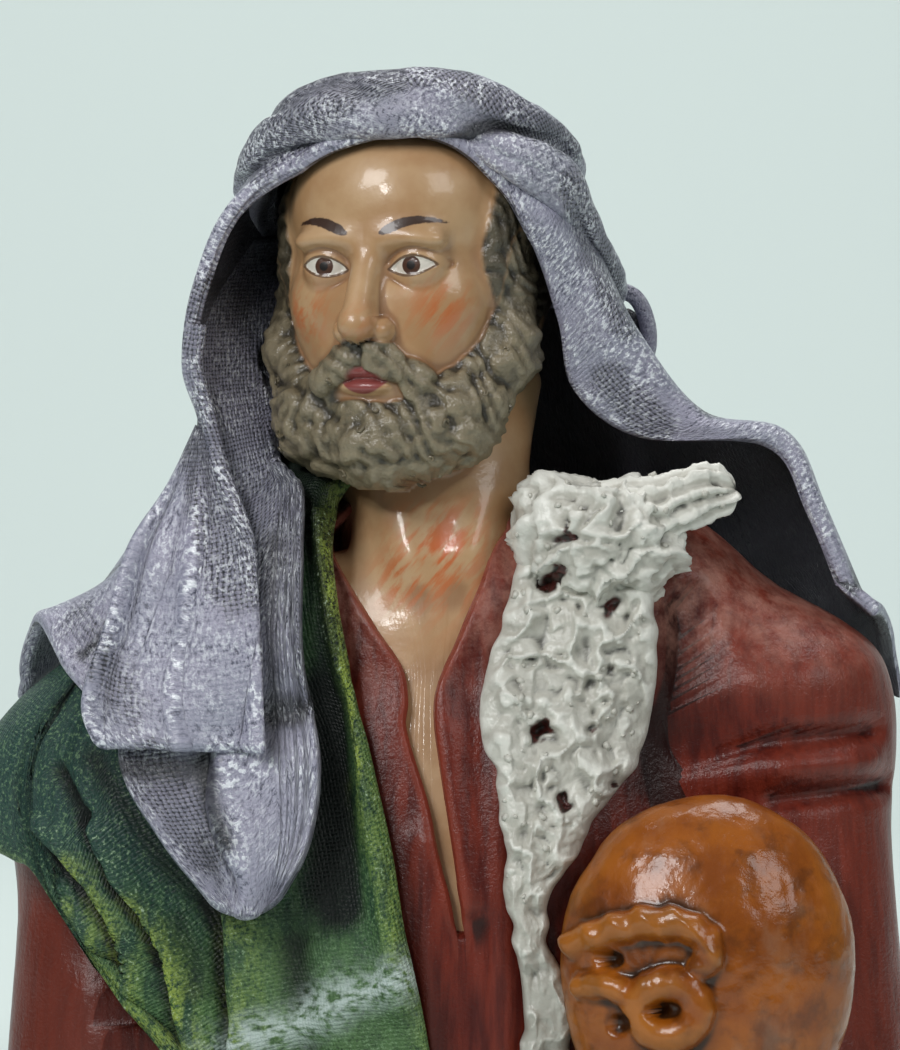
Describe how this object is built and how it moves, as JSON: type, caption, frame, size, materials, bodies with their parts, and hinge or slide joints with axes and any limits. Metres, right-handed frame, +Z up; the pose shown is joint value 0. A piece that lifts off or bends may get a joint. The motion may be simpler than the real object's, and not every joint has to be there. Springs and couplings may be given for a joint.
{
  "type": "shepherd figurine",
  "caption": "Painted bust of a bearded shepherd with draped head cloth, tied band, green mantle, red tunic, fleece strip and skin bag, cut flat below.",
  "frame": {"origin": "middle of the flat underside on which the bust stands", "axes": "+Z up, -Y towards the front, +X towards the viewer's right"},
  "size_m": [0.0954, 0.0498, 0.1071],
  "materials": {
    "skin_and_hair": "painted flesh tones and grey-brown hair under varnish",
    "tunic_paint": "brick-red paint, satin varnish",
    "mantle_cloth": "glue-stiffened cotton, dark green with brushed yellow-green crests",
    "head_cloth": "glue-stiffened cotton, lilac with silvery brushed weave",
    "band_cloth": "glue-stiffened rolled cotton, lilac with silvery brushed weave",
    "fleece_paste": "modelled paste, off-white paint, semi-gloss",
    "wineskin_paint": "orange-brown paint mottled darker, glossy varnish"
  },
  "bodies": {
    "root": {"head": "skin_and_hair", "tunic": "tunic_paint", "mantle": "mantle_cloth", "head_cloth": "head_cloth", "head_band": "band_cloth", "fleece": "fleece_paste", "wineskin": "wineskin_paint"}
  },
  "joints": []
}
